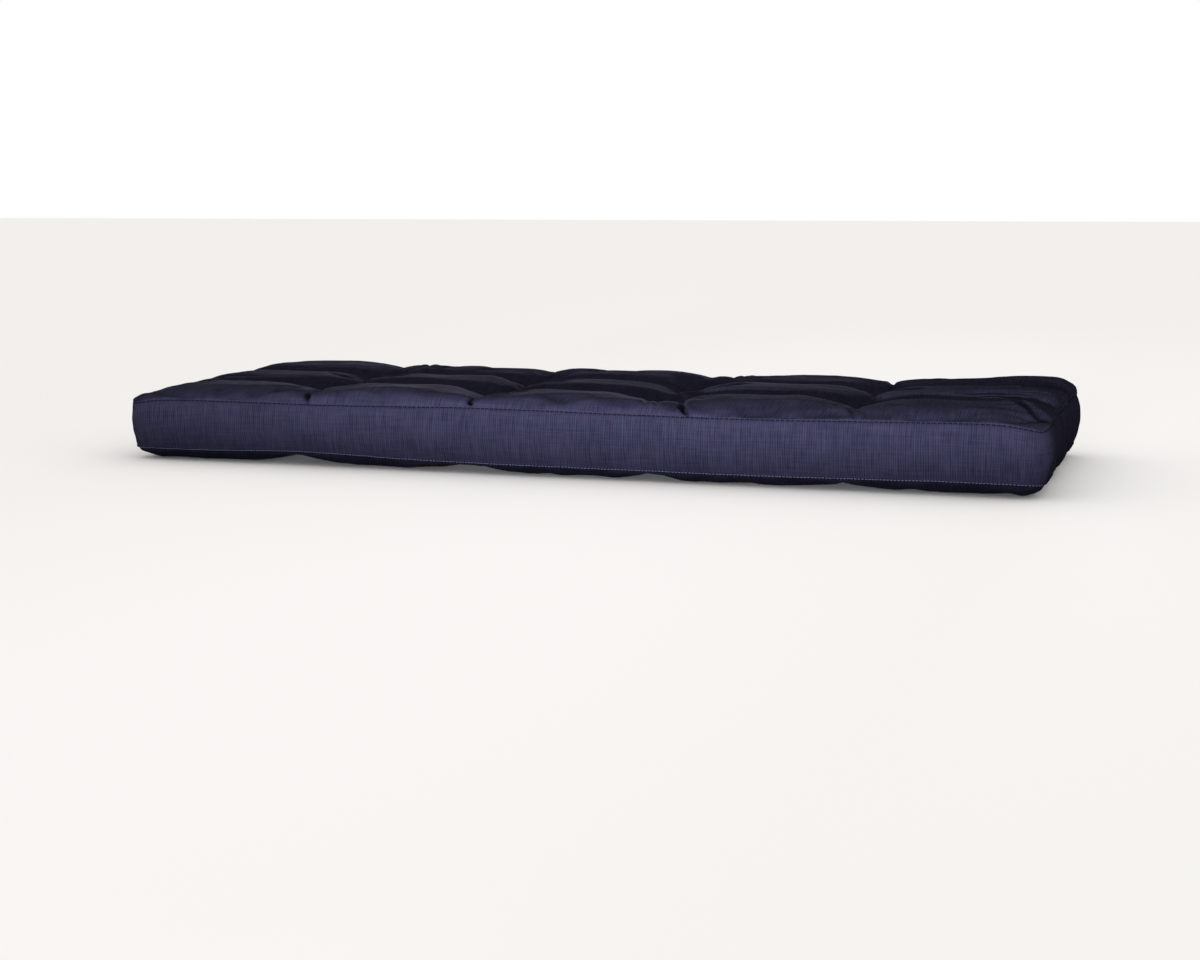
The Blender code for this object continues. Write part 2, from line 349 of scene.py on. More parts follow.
def buildSewnBox():
    bm = bmesh.new()
    places = rowPlaces()
    depths = depthPlaces()
    addPanel(bm, places, depths, 1.0)
    rim = [edge for edge in bm.edges if edge.is_boundary]
    for row in range(sewnBox["bandRows"]):
        grown = bmesh.ops.extrude_edge_only(bm, edges=rim)["geom"]
        rim = [item for item in grown if isinstance(item, bmesh.types.BMEdge)]
        for item in grown:
            if isinstance(item, bmesh.types.BMVert):
                item.co.z = 1.0 - (row + 1) / sewnBox["bandRows"]
        rim = [edge for edge in rim if abs(edge.verts[0].co.z - edge.verts[1].co.z) < tiny]
    addPanel(bm, places, depths, 0.0)
    bmesh.ops.remove_doubles(bm, verts=bm.verts[:], dist=tiny)
    bmesh.ops.recalc_face_normals(bm, faces=bm.faces[:])
    bm = inFixedOrder(bm)
    crease = bm.edges.layers.float.new("crease_edge")
    for edge in bm.edges:
        level = [face for face in edge.link_faces if abs(face.normal.z) > 0.5]
        edge[crease] = 1.0 if len(level) == 1 else 0.0
    mesh = bpy.data.meshes.new("cushion_cover")
    bm.to_mesh(mesh)
    bm.free()
    return mesh


def readVectors(source, name, count):
    values = np.empty(count * 3, dtype=np.float32)
    source.foreach_get(name, values)
    return values.reshape(-1, 3).astype(float)


def readPoints(mesh):
    return readVectors(mesh.vertices, "co", len(mesh.vertices))


def readNormals(mesh):
    return readVectors(mesh.vertex_normals, "vector", len(mesh.vertices))


def readBox(mesh):
    return readVectors(mesh.attributes["box"].data, "vector", len(mesh.vertices))


def readNumbers(items, name, width=1):
    values = np.empty(len(items) * width, dtype=np.int32)
    items.foreach_get(name, values)
    return values


def writePoints(mesh, points):
    mesh.vertices.foreach_set("co", points.astype(np.float32).ravel())
    mesh.update()


coverMesh = buildSewnBox()
boxPoints = readPoints(coverMesh)
boxAttribute = coverMesh.attributes.new("box", "FLOAT_VECTOR", "POINT")
boxAttribute.data.foreach_set("vector", boxPoints.astype(np.float32).ravel())
startPoints = shapeBox(boxPoints)
writePoints(coverMesh, startPoints)
cushion = bpy.data.objects.new("cushion_cover", coverMesh)
bpy.context.scene.collection.objects.link(cushion)
print("sewn box:", len(coverMesh.polygons), "faces")


# filling: the cover is let out a little, then pressure pushes it against its seams and tufts
filling = {
    "frames": 24,
    "quality": 5,
    "pressure": 4.0,
    "letOut": 0.022,              # spare cloth, as a share of each length
    "tuftHold": 0.003,            # the cloth this near a tuft is held fast
    "looseHold": 0.12,            # how firmly the open cloth keeps to its form
    "evenRounds": 24,             # how wide the swelling is evened out, so the pillows keep their heights
    "mostMove": 0.0040,
    "mass": 0.2,
    "bend": 0.6,
    "tension": 12.0,
    "airDamping": 2.0,
}


def seamMask(box):
    return (seamDistance(box) < rimSlip) & (onTop(box[:, 2]) | onBottom(box[:, 2]))


def tuftMask(box, reach):
    return (fromTuft(box[:, 0], box[:, 1]) < reach) & (onTop(box[:, 2]) | onBottom(box[:, 2]))


def evenOut(mesh, values, fixed, rounds):
    # neighbour averages over and over, with nothing moving at the seams and tufts
    first, second = readNumbers(mesh.edges, "vertices", 2).reshape(-1, 2).T
    count = len(mesh.vertices)
    neighbours = np.bincount(first, minlength=count) + np.bincount(second, minlength=count)
    even = values.copy()
    for _ in range(rounds):
        for axis in range(3):
            total = np.bincount(first, weights=even[second, axis], minlength=count)
            total += np.bincount(second, weights=even[first, axis], minlength=count)
            even[:, axis] = total / neighbours
        even[fixed] = 0.0
    return even


def fillCushion(piece):
    mesh = piece.data
    held = piece.vertex_groups.new(name="held")
    fixed = seamMask(boxPoints) | tuftMask(boxPoints, filling["tuftHold"])
    held.add(np.flatnonzero(fixed).tolist(), 1.0, "REPLACE")
    held.add(np.flatnonzero(~fixed).tolist(), filling["looseHold"], "REPLACE")
    cloth = piece.modifiers.new("filling", "CLOTH")
    settings = cloth.settings
    settings.quality = filling["quality"]
    settings.mass = filling["mass"]
    settings.tension_stiffness = filling["tension"]
    settings.compression_stiffness = filling["tension"]
    settings.shear_stiffness = filling["tension"] / 2
    settings.bending_stiffness = filling["bend"]
    settings.air_damping = filling["airDamping"]
    settings.shrink_min = -filling["letOut"]
    settings.vertex_group_mass = "held"
    settings.pin_stiffness = 1.0
    settings.use_pressure = True
    settings.uniform_pressure_force = filling["pressure"]
    settings.effector_weights.gravity = 0.0
    cloth.collision_settings.use_collision = False
    for number in range(1, filling["frames"] + 1):
        bpy.context.scene.frame_set(number)
    evaluated = piece.evaluated_get(bpy.context.evaluated_depsgraph_get())
    filled = bpy.data.meshes.new_from_object(evaluated)
    moved = readPoints(filled) - startPoints
    bpy.data.meshes.remove(filled)
    piece.modifiers.remove(cloth)
    piece.vertex_groups.remove(held)
    bpy.context.scene.frame_set(1)
    print(f"swelling: mean {np.linalg.norm(moved, axis=1).mean() * 1000:.2f} mm")
    moved -= evenOut(mesh, moved, fixed, filling["evenRounds"])
    distance = np.maximum(np.linalg.norm(moved, axis=1), 1e-9)
    capped = np.minimum(distance, filling["mostMove"]) / distance
    settled = startPoints + moved * capped[:, None]
    settled[:, 2] = np.maximum(settled[:, 2], 0.0)
    writePoints(mesh, settled)
    print(f"filled: mean move {distance.mean() * 1000:.2f} mm, most {distance.max() * 1000:.2f} mm")


fillCushion(cushion)


def refine(piece):
    smooth = piece.modifiers.new("finer cloth", "SUBSURF")
    smooth.levels = 1
    smooth.render_levels = 1
    evaluated = piece.evaluated_get(bpy.context.evaluated_depsgraph_get())
    fine = bpy.data.meshes.new_from_object(evaluated)
    piece.modifiers.clear()
    old = piece.data
    piece.data = fine
    bpy.data.meshes.remove(old)
    fine.name = "cushion_cover"


def addSeamRows(mesh):
    # closer rows on both sides of each seam, for its ridge and groove
    onSeam = seamMask(readBox(mesh))
    bm = bmesh.new()
    bm.from_mesh(mesh)
    across = [edge for edge in bm.edges if onSeam[edge.verts[0].index] != onSeam[edge.verts[1].index]]
    bmesh.ops.subdivide_edges(bm, edges=across, cuts=sewnBox["seamCuts"], use_grid_fill=True)
    bm.to_mesh(mesh)
    bm.free()


refine(cushion)
addSeamRows(cushion.data)
print("finer cloth:", len(cushion.data.polygons), "faces")


# creases, puckers and seam ridges, moved out along the cloth's own normals
seams = {
    "ridge": 0.00010,             # the folded edge that stands up above the stitches
    "ridgeAt": 0.0013,
    "ridgeWidth": 0.0009,
    "groove": 0.0010,
    "grooveAt": 0.0012,
    "grooveWidth": 0.0012,
    "lowerRidge": 0.00075,
    "lowerGroove": 0.0011,
}

puckers = {
    "spacing": 0.0095,
    "reach": 0.0150,
    "seamClear": 0.004,
    "height": 0.00050,
    "bandShare": 0.35,
    "leftExtra": 0.9,             # stronger along the slacker left end
    "leftFade": (-0.42, -0.12),
}

softness = {                      # the filling's own unevenness
    "topHeight": 0.00060,
    "topScale": 0.042,
    "topShift": 4.7,
    "topClear": 0.020,
    "bandHeight": 0.00045,
    "bandScale": 0.036,
    "bandShift": 9.2,
    "bandClear": 0.012,
}

tuftFolds = {
    "seed": 26,
    "count": 11,
    "depth": 0.0019,
    "width": 0.0036,
    "start": 0.006,
    "peak": 0.020,
    "turnSwing": 0.22,
    "reaches": (0.035, 0.075),
    "depthShares": (0.45, 1.15),
    "widthShares": (0.8, 1.5),
    "bendMost": 3.0,
    "widthStart": 0.6,            # a fold widens away from its tuft
    "widening": 12.0,
}

# creases on the top panel: where each runs, how wide and how deep
creases = [
    {"path": [(-0.312, -0.186), (-0.306, -0.203), (-0.3025, -0.2145)], "width": 0.0030, "depth": 0.0042},
    {"path": [(-0.276, -0.186), (-0.266, -0.205), (-0.2625, -0.2135)], "width": 0.0028, "depth": 0.0013},
    {"path": [(-0.105, -0.190), (-0.1005, -0.204), (-0.0980, -0.2148)], "width": 0.0024, "depth": 0.0040},
    {"path": [(-0.070, -0.140), (-0.084, -0.176), (-0.0945, -0.199), (-0.1020, -0.2100)], "width": 0.0040,
     "depth": 0.0054},
    {"path": [(0.137, -0.170), (0.1465, -0.198), (0.1560, -0.2146)], "width": 0.0030, "depth": 0.0050},
    {"path": [(0.080, -0.112), (0.098, -0.170), (0.1060, -0.2050)], "width": 0.0030, "depth": 0.0018},
    {"path": [(0.112, -0.176), (0.116, -0.205)], "width": 0.0026, "depth": 0.0011},
    {"path": [(0.330, -0.182), (0.3370, -0.203), (0.3400, -0.2120)], "width": 0.0024, "depth": 0.0015},
    {"path": [(0.346, -0.184), (0.3525, -0.2100)], "width": 0.0022, "depth": 0.0008},
    {"path": [(0.4880, -0.082), (0.5120, -0.132), (0.5250, -0.157), (0.5330, -0.1720)], "width": 0.0056,
     "depth": 0.0034},
    {"path": [(-0.520, -0.176), (-0.531, -0.194), (-0.5390, -0.2080)], "width": 0.0040, "depth": 0.0026},
    {"path": [(-0.330, 0.120), (-0.322, 0.175), (-0.3200, 0.2130)], "width": 0.0036, "depth": 0.0028},
    {"path": [(-0.124, 0.130), (-0.138, 0.180), (-0.1410, 0.2140)], "width": 0.0032, "depth": 0.0022},
    {"path": [(0.112, 0.125), (0.121, 0.180), (0.1240, 0.2140)], "width": 0.0034, "depth": 0.0024},
    {"path": [(0.322, 0.130), (0.313, 0.185), (0.3110, 0.2145)], "width": 0.0032, "depth": 0.0020},
    {"path": [(-0.460, -0.074), (-0.510, -0.079), (-0.5400, -0.0820)], "width": 0.0042, "depth": 0.0022},
    {"path": [(-0.455, 0.076), (-0.505, 0.070), (-0.5400, 0.0640)], "width": 0.0042, "depth": 0.0020},
    {"path": [(0.440, -0.070), (0.500, -0.064), (0.5405, -0.0580)], "width": 0.0036, "depth": 0.0022},
    {"path": [(0.445, 0.074), (0.505, 0.081), (0.5405, 0.0870)], "width": 0.0038, "depth": 0.0024},
]

creaseShape = {
    "lip": 0.32,                  # a slight lip on both sides, as a share of the depth
    "lipAt": 2.1,
    "fullFrom": 0.22,             # along its path a crease deepens, then eases before the seam
    "easesFrom": 0.85,
    "easesBy": 0.7,
}

# long soft wrinkles drawn towards the right end
rightWrinkles = {
    "rows": [-0.182, -0.166, -0.150, -0.128, -0.104, -0.050, -0.026, 0.004, 0.034, 0.104, 0.132, 0.160],
    "start": 0.425,
    "stagger": 0.012,             # within each four, every next one starts further right
    "staggerEvery": 4,
    "fullAt": 0.502,
    "fade": (0.520, 0.536),
    "swing": 0.006,
    "swingRate": 38.0,
    "swingShift": 1.9,
    "width": 0.0034,
    "depth": 0.00085,
}


def noiseAt(places, scale, shift=0.0):
    return np.array([noise.noise(Vector(place) / scale + Vector((shift, shift, shift))) for place in places])


def fromPath(x, y, path):
    # distance from a crease's line, and how far along it, from 0 to 1
    steps = [math.hypot(b[0] - a[0], b[1] - a[1]) for a, b in zip(path, path[1:])]
    nearest = np.full(len(x), 1.0)
    alongPath = np.zeros(len(x))
    walked = 0.0
    for (ax, ay), (bx, by), step in zip(path, path[1:], steps):
        share = np.clip(((x - ax) * (bx - ax) + (y - ay) * (by - ay)) / step ** 2, 0.0, 1.0)
        distance = np.hypot(x - ax - share * (bx - ax), y - ay - share * (by - ay))
        closer = distance < nearest
        nearest = np.where(closer, distance, nearest)
        alongPath = np.where(closer, (walked + share * step) / sum(steps), alongPath)
        walked += step
    return nearest, alongPath


def foldProfile(distance, width, depth):
    lip = creaseShape["lip"] * bell(distance, creaseShape["lipAt"] * width, width)
    return depth * (lip - bell(distance, 0.0, width))


def perimeterPlace(x, y):
    # how far round the cushion the nearest point of its rim lies, from the middle of the front
    sideways = halfDepth - np.abs(y) < halfLength - np.abs(x)
    onSide = np.where(y < 0, x, 2 * halfLength + 2 * halfDepth - x)
    onEnd = np.where(x > 0, halfLength + halfDepth + y, -halfLength - halfDepth - y)
    return np.where(sideways, onSide, onEnd)


def tuftFoldLift(x, y):
    random = np.random.default_rng(tuftFolds["seed"])
    lift = np.zeros(len(x))
    for tuft in form["tufts"]:
        for row in form["tuftRows"]:
            away = np.hypot(x - tuft["along"], y - row)
            heading = np.arctan2(y - row, x - tuft["along"])
            turns = np.linspace(0.0, 2 * math.pi, tuftFolds["count"], endpoint=False)
            turns += random.uniform(-tuftFolds["turnSwing"], tuftFolds["turnSwing"], tuftFolds["count"])
            for turn in turns:
                reach = random.uniform(*tuftFolds["reaches"])
                depth = tuftFolds["depth"] * random.uniform(*tuftFolds["depthShares"])
                width = tuftFolds["width"] * random.uniform(*tuftFolds["widthShares"])
                bend = random.uniform(-tuftFolds["bendMost"], tuftFolds["bendMost"])
                off = heading - turn - bend * away
                off = np.arctan2(np.sin(off), np.cos(off))
                beside = away * np.sin(np.clip(off, -math.pi / 2, math.pi / 2))
                beside = np.where(np.abs(off) < math.pi / 2, beside, 1.0)
                along = smoothStep(away, tuftFolds["start"], tuftFolds["peak"])
                along *= 1.0 - smoothStep(away, tuftFolds["peak"], reach)
                widths = width * (tuftFolds["widthStart"] + tuftFolds["widening"] * away)
                lift += along * foldProfile(np.abs(beside), widths, depth)
    return lift


def creaseLift(x, y):
    lift = np.zeros(len(x))
    for crease in creases:
        distance, along = fromPath(x, y, crease["path"])
        taper = smoothStep(along, 0.0, creaseShape["fullFrom"])
        taper *= 1.0 - creaseShape["easesBy"] * smoothStep(along, creaseShape["easesFrom"], 1.0)
        lift += taper * foldProfile(distance, crease["width"], crease["depth"])
    return lift


def wrinkleLift(x, y):
    lift = np.zeros(len(x))
    for index, row in enumerate(rightWrinkles["rows"]):
        swing = np.sin(x * rightWrinkles["swingRate"] + index * rightWrinkles["swingShift"])
        start = rightWrinkles["start"] + rightWrinkles["stagger"] * (index % rightWrinkles["staggerEvery"])
        length = smoothStep(x, start, rightWrinkles["fullAt"])
        length *= 1.0 - smoothStep(x, *rightWrinkles["fade"])
        fromLine = np.abs(y - row - rightWrinkles["swing"] * swing)
        lift += length * foldProfile(fromLine, rightWrinkles["width"], rightWrinkles["depth"])
    return lift


def puckerLift(x, place, fromSeam):
    still = np.zeros_like(x)
    strength = puckers["height"] * (1.0 + puckers["leftExtra"] * (1.0 - smoothStep(x, *puckers["leftFade"])))
    fade = np.exp(-fromSeam / puckers["reach"]) * smoothStep(fromSeam, 0.0, puckers["seamClear"])
    return strength * noiseAt(np.stack([place, still, still], axis=1), puckers["spacing"]) * fade


def seamRidge(distance, height):
    return height * bell(distance, seams["ridgeAt"], seams["ridgeWidth"])


def seamGroove(distance, depth):
    return depth * bell(distance, seams["grooveAt"], seams["grooveWidth"])


def detailLift(box):
    x, y, share = box.T
    isTop = onTop(share)
    isBottom = onBottom(share)
    onBand = ~isTop & ~isBottom
    inward = seamDistance(box)
    belowUpper = (1.0 - share) * bandHeight
    aboveLower = share * bandHeight
    lift = np.zeros(len(x))
    lift[~onBand] += tuftFoldLift(x[~onBand], y[~onBand])
    lift[isTop] += creaseLift(x[isTop], y[isTop]) + wrinkleLift(x[isTop], y[isTop])
    # puckers along the upper seam
    place = perimeterPlace(x, y)
    puckerShare = np.where(isTop, 1.0, np.where(onBand, puckers["bandShare"], 0.0))
    lift += puckerShare * puckerLift(x, place, np.where(onBand, belowUpper, inward))
    # soft unevenness of the filling
    topNoise = noiseAt(np.stack([x, y, share], axis=1), softness["topScale"], softness["topShift"])
    topSoft = softness["topHeight"] * topNoise * smoothStep(inward, 0.0, softness["topClear"])
    bandPlace = np.stack([place, aboveLower, y], axis=1)
    bandNoise = noiseAt(bandPlace, softness["bandScale"], softness["bandShift"])
    fromSeams = np.minimum(belowUpper, aboveLower)
    bandSoft = softness["bandHeight"] * bandNoise * smoothStep(fromSeams, 0.0, softness["bandClear"])
    lift += np.where(onBand, bandSoft, topSoft)
    # the upper seam: a ridge above and a stitched groove below; the lower seam has them the other way up
    lift += np.where(isTop, seamRidge(inward, seams["ridge"]), 0.0)
    lift -= np.where(onBand, seamGroove(belowUpper, seams["groove"]), 0.0)
    lift += np.where(onBand, seamRidge(aboveLower, seams["lowerRidge"]), 0.0)
    lift -= np.where(isBottom, seamGroove(inward, seams["lowerGroove"]), 0.0)
    return lift


def addDetails(mesh):
    lift = detailLift(readBox(mesh))
    points = readPoints(mesh) + readNormals(mesh) * lift[:, None]
    points[:, 2] = np.maximum(points[:, 2], 0.0)
    writePoints(mesh, points)


addDetails(cushion.data)
print("creases and seams worked in")


# threads: topstitching below the upper seam, finer stitches above the lower one
upperStitches = {
    "name": "upper_stitches",
    "below": 0.0012,
    "length": 0.0040,
    "pitch": 0.0056,
    "radius": 0.00058,
    "sink": 0.00010,
}

lowerStitches = {
    "name": "lower_stitches",
    "above": 0.0013,
    "length": 0.0026,
    "pitch": 0.0039,
    "radius": 0.00030,
    "sink": 0.00012,
}

sewing = {
    "seed": 7,
    "sides": 6,
    # each ring's place along the stitch, and its thickness
    "rings": [(-0.55, 0.60), (-0.40, 1.00), (0.0, 1.15), (0.40, 1.00), (0.55, 0.60)],
    "wander": 0.05,
    "lengthShares": (0.92, 1.06),
    "flatness": 0.8,
    "bedding": 0.4,               # how far a stitch is pulled into the cloth, as a share of its radius
    "lookAhead": 1e-4,
}


def seamLine(mesh, heightShare):
    # points and normals round the cushion at one height of the band, from the front left corner on
    box = readBox(mesh)
    onRow = (seamDistance(box) < rimSlip) & ~onTop(box[:, 2]) & ~onBottom(box[:, 2])
    rows = np.unique(np.round(box[onRow, 2], 4))
    row = rows[np.abs(rows - heightShare).argmin()]
    chosen = np.flatnonzero(onRow & (np.abs(box[:, 2] - row) < 2 * panelSlip))
    around = perimeterPlace(*box[chosen, :2].T)
    around[around < -halfLength - rimSlip] += 4 * (halfLength + halfDepth)
    order = chosen[np.argsort(around)]
    order = np.append(order, order[0])
    return readPoints(mesh)[order], readNormals(mesh)[order]


def atPlace(place, walked, values):
    return np.array([np.interp(place % walked[-1], walked, values[:, axis]) for axis in range(3)])


def makeStitches(stitches, heightShare, material):
    points, normals = seamLine(cushion.data, heightShare)
    walked = np.concatenate([[0.0], np.cumsum(np.linalg.norm(np.diff(points, axis=0), axis=1))])
    count = round(walked[-1] / stitches["pitch"])
    sides = sewing["sides"]
    random = np.random.default_rng(sewing["seed"])
    verts = []
    faces = []
    for index in range(count):
        middle = (index + 0.5 + random.uniform(-sewing["wander"], sewing["wander"])) * walked[-1] / count
        length = stitches["length"] * random.uniform(*sewing["lengthShares"])
        first = len(verts)
        for share, thick in sewing["rings"]:
            place = middle + share * length
            spot = atPlace(place, walked, points)
            out = atPlace(place, walked, normals)
            out /= np.linalg.norm(out)
            along = atPlace(place + sewing["lookAhead"], walked, points) - spot
            along /= np.linalg.norm(along)
            aside = np.cross(along, out)
            spot = spot + out * (stitches["radius"] * (thick - sewing["bedding"]) - stitches["sink"])
            for side in range(sides):
                turn = 2 * math.pi * side / sides
                ring = aside * math.cos(turn) + out * math.sin(turn) * sewing["flatness"]
                verts.append(spot + ring * stitches["radius"] * thick)
        for start in range(first, len(verts) - sides, sides):
            for side in range(sides):
                nextSide = (side + 1) % sides
                beyond = start + sides
                faces.append((start + side, start + nextSide, beyond + nextSide, beyond + side))
        faces.append(tuple(range(first, first + sides)))
        faces.append(tuple(reversed(range(len(verts) - sides, len(verts)))))
    mesh = bpy.data.meshes.new(stitches["name"])
    mesh.from_pydata([tuple(vert) for vert in verts], [], faces)
    mesh.materials.append(material)
    mesh.shade_smooth()
    piece = bpy.data.objects.new(stitches["name"], mesh)
    bpy.context.scene.collection.objects.link(piece)
    return piece


# navy canvas: rib weave laid along the cloth, in metres on its own map
# painted light and shade, as factors on the cloth's colour: painted shade below, in the groove, in the
# creases and about the tufts, and a painted highlight on the seam's edge
paintedLight = {
    "underside": 0.34,            # painted shade on the bottom panel
    "bandFootShade": 0.36,             # painted shade, deepening towards the band's foot
    "bandFootPower": 1.5,
    "ridge": 0.03,                # a painted highlight along the folded edge of the upper seam
    "ridgeWidth": 0.0016,
    "ridgePatch": 0.030,
    "patchShift": 2.3,
    "patchLevel": 0.8,
    # painted shade in the groove below the upper seam
    "groove": 0.25,
    "grooveWidth": 0.0015,
    "crease": 0.62,               # painted shade in the creases
    "creaseDepth": 0.005,         # in a crease this deep, and less in a shallower one
    "creaseFullFrom": 0.3,
    "creaseSpread": 0.9,
    "tuftShade": 0.30,
    "tuftReach": 0.016,
}

canvas = {
    "dark": (0.0048, 0.0050, 0.0102),
    "light": (0.0147, 0.0147, 0.0270),
    "warm": (0.0170, 0.0113, 0.0208),
    "toneRange": (0.80, 1.62),    # from dark to light
    "warmRange": (0.52, 0.78),    # only the few yarns above this lean to red
    "warmMost": 0.55,
    "ribPitch": 0.0026,
    "ribDrift": 0.0012,
    "weftPitch": 0.0012,
    "ribHeight": 0.00016,
    "roughLow": 0.92,             # between the ribs
    "roughHigh": 0.70,            # and on them
    "specular": 0.0,
    "sheen": 0.0030,
    "sheenTint": (1.0, 0.92, 1.0, 1.0),
    "sheenRoughness": 0.28,
}

# uneven yarns, as noise: how fine along and across the cloth, per metre
yarns = {
    "drift": {"along": 90.0, "across": 14.0, "detail": 2.0, "shift": 0.0},
    "ribYarn": {"along": 430.0, "across": 34.0, "detail": 3.0, "shift": 0.0},
    "crossYarn": {"along": 30.0, "across": 760.0, "detail": 2.0, "shift": 7.3},
    "mottle": {"along": 24.0, "across": 30.0, "detail": 4.0, "shift": 3.1},
    "redYarn": {"along": 520.0, "across": 60.0, "detail": 1.0, "shift": 11.9},
}
toneShares = {"ribYarn": 1.00, "mottle": 0.42, "crossYarn": 0.62, "rib": 0.36}
heightShares = {"rib": 0.62, "weft": 0.20, "ribYarn": 0.45, "crossYarn": 0.25}

threads = {
    "dark": {"low": (0.0010, 0.0010, 0.0022), "high": (0.0026, 0.0026, 0.0052)},
    "pale": {"low": (0.0330, 0.0350, 0.0620), "high": (0.0620, 0.0660, 0.1050)},
    "twistScale": 1 / 0.0027,
    "unevenness": 1.5,
    "twistHeight": 0.00008,
    "roughness": 0.75,
    "specular": 0.02,
}


def addPaintedLight(mesh):
    # painted light and shade, as a factor on the cloth's colour, point by point
    box = readBox(mesh)
    x, y, share = box.T
    # painted shade, deepening towards the band's foot
    tone = 1.0 - paintedLight["bandFootShade"] * (1.0 - share) ** paintedLight["bandFootPower"]
    # painted shade in the groove below the upper seam
    tone -= paintedLight["groove"] * bell((1.0 - share) * bandHeight, seams["grooveAt"], paintedLight["grooveWidth"])
    # a patchy painted highlight along the folded edge of the upper seam, and painted shade about each tuft
    patch = noiseAt(np.stack([x, y, np.zeros_like(x)], axis=1), paintedLight["ridgePatch"], paintedLight["patchShift"])
    ridgeHighlight = np.clip(patch + paintedLight["patchLevel"], 0.0, 1.0) * bell(seamDistance(box), 0.0, paintedLight["ridgeWidth"])
    topPaintedLight = 1.0 + paintedLight["ridge"] * ridgeHighlight - paintedLight["tuftShade"] * bell(fromTuft(x, y), 0.0, paintedLight["tuftReach"])
    # painted shade in each crease, deeper in the deeper creases
    for crease in creases:
        distance, along = fromPath(x, y, crease["path"])
        taper = smoothStep(along, 0.0, paintedLight["creaseFullFrom"]) * crease["depth"] / paintedLight["creaseDepth"]
        topPaintedLight *= 1.0 - paintedLight["crease"] * taper * bell(distance, 0.0, crease["width"] * paintedLight["creaseSpread"])
    tone = np.where(onTop(share), topPaintedLight, tone)
    # painted shade over the whole bottom panel
    tone = np.where(onBottom(share), paintedLight["underside"], tone)
    mesh.attributes.new("paintedLight", "FLOAT", "POINT").data.foreach_set("value", tone.astype(np.float32))


def addClothMap(mesh):
    # the panels keep their own x and y; the band is laid out round the front, and anew along the back
    box = readBox(mesh)
    corners = readNumbers(mesh.loops, "vertex_index")
    counts = readNumbers(mesh.polygons, "loop_total")
    owner = np.repeat(np.arange(len(counts)), counts)
    middle = np.zeros((len(counts), 3))
    np.add.at(middle, owner, box[corners])
    middle /= counts[:, None]
    x, y, share = box[corners].T
    midX, midY, midShare = middle[owner].T
    onBand = ~onTop(midShare) & ~onBottom(midShare)
    onBack = onBand & (midY > halfDepth - panelSlip)
    onRight = onBand & (midX > halfLength - panelSlip)
    onLeft = onBand & (midX < panelSlip - halfLength)
    along = x.copy()
    across = y.copy()
    along[onRight] = (halfLength + y + halfDepth)[onRight]
    along[onBack] = (3 * halfLength + 2 * halfDepth - x)[onBack]
    along[onLeft] = (-halfLength - y - halfDepth)[onLeft]
    across[onBand] = ((share - 0.5) * bandHeight)[onBand]
    clothMap = mesh.uv_layers.new(name="cloth")
    clothMap.data.foreach_set("uv", np.stack([along, across], axis=1).astype(np.float32).ravel())


def addNode(tree, kind, **values):
    node = tree.nodes.new(kind)
    for name, value in values.items():
        setattr(node, name, value)
    return node


def calculate(tree, operation, *values):
    node = addNode(tree, "ShaderNodeMath", operation=operation)
    for socket, value in zip(node.inputs, values):
        if isinstance(value, bpy.types.NodeSocket):
            tree.links.new(value, socket)
        else:
            socket.default_value = value
    return node.outputs[0]


def clothNoise(tree, place, along, across, detail, shift):
    mapping = addNode(tree, "ShaderNodeMapping")
    mapping.inputs["Scale"].default_value = (along, across, 1.0)
    mapping.inputs["Location"].default_value = (shift, shift, shift)
    tree.links.new(place, mapping.inputs["Vector"])
    pattern = addNode(tree, "ShaderNodeTexNoise")
    pattern.inputs["Scale"].default_value = 1.0
    pattern.inputs["Detail"].default_value = detail
    tree.links.new(mapping.outputs["Vector"], pattern.inputs["Vector"])
    return pattern.outputs["Fac"]


def threadWave(tree, place, pitch):
    # from 0 between two threads to 1 on their crests
    wave = calculate(tree, "SINE", calculate(tree, "MULTIPLY", place, 2 * math.pi / pitch))
    return calculate(tree, "MULTIPLY_ADD", wave, 0.5, 0.5)


def addUp(tree, patterns, shares):
    total = 0.0
    for name, share in shares.items():
        total = calculate(tree, "ADD", total, calculate(tree, "MULTIPLY", patterns[name], share))
    return total


def mapRange(tree, value, fromRange, toRange):
    mapped = addNode(tree, "ShaderNodeMapRange")
    mapped.inputs["From Min"].default_value, mapped.inputs["From Max"].default_value = fromRange
    mapped.inputs["To Min"].default_value, mapped.inputs["To Max"].default_value = toRange
    tree.links.new(value, mapped.inputs["Value"])
    return mapped.outputs["Result"]


def blendColours(tree, share, first, second):
    mix = addNode(tree, "ShaderNodeMix", data_type="RGBA")
    tree.links.new(share, mix.inputs["Factor"])
    for socket, value in ((mix.inputs["A"], first), (mix.inputs["B"], second)):
        if isinstance(value, bpy.types.NodeSocket):
            tree.links.new(value, socket)
        else:
            socket.default_value = (*value, 1.0)
    return mix.outputs["Result"]


def addBump(tree, shader, height, distance):
    bump = addNode(tree, "ShaderNodeBump")
    bump.inputs["Distance"].default_value = distance
    tree.links.new(height, bump.inputs["Height"])
    tree.links.new(bump.outputs["Normal"], shader.inputs["Normal"])


def newMaterial(name):
    material = bpy.data.materials.new(name)
    material.use_nodes = True
    return material, material.node_tree, material.node_tree.nodes["Principled BSDF"]


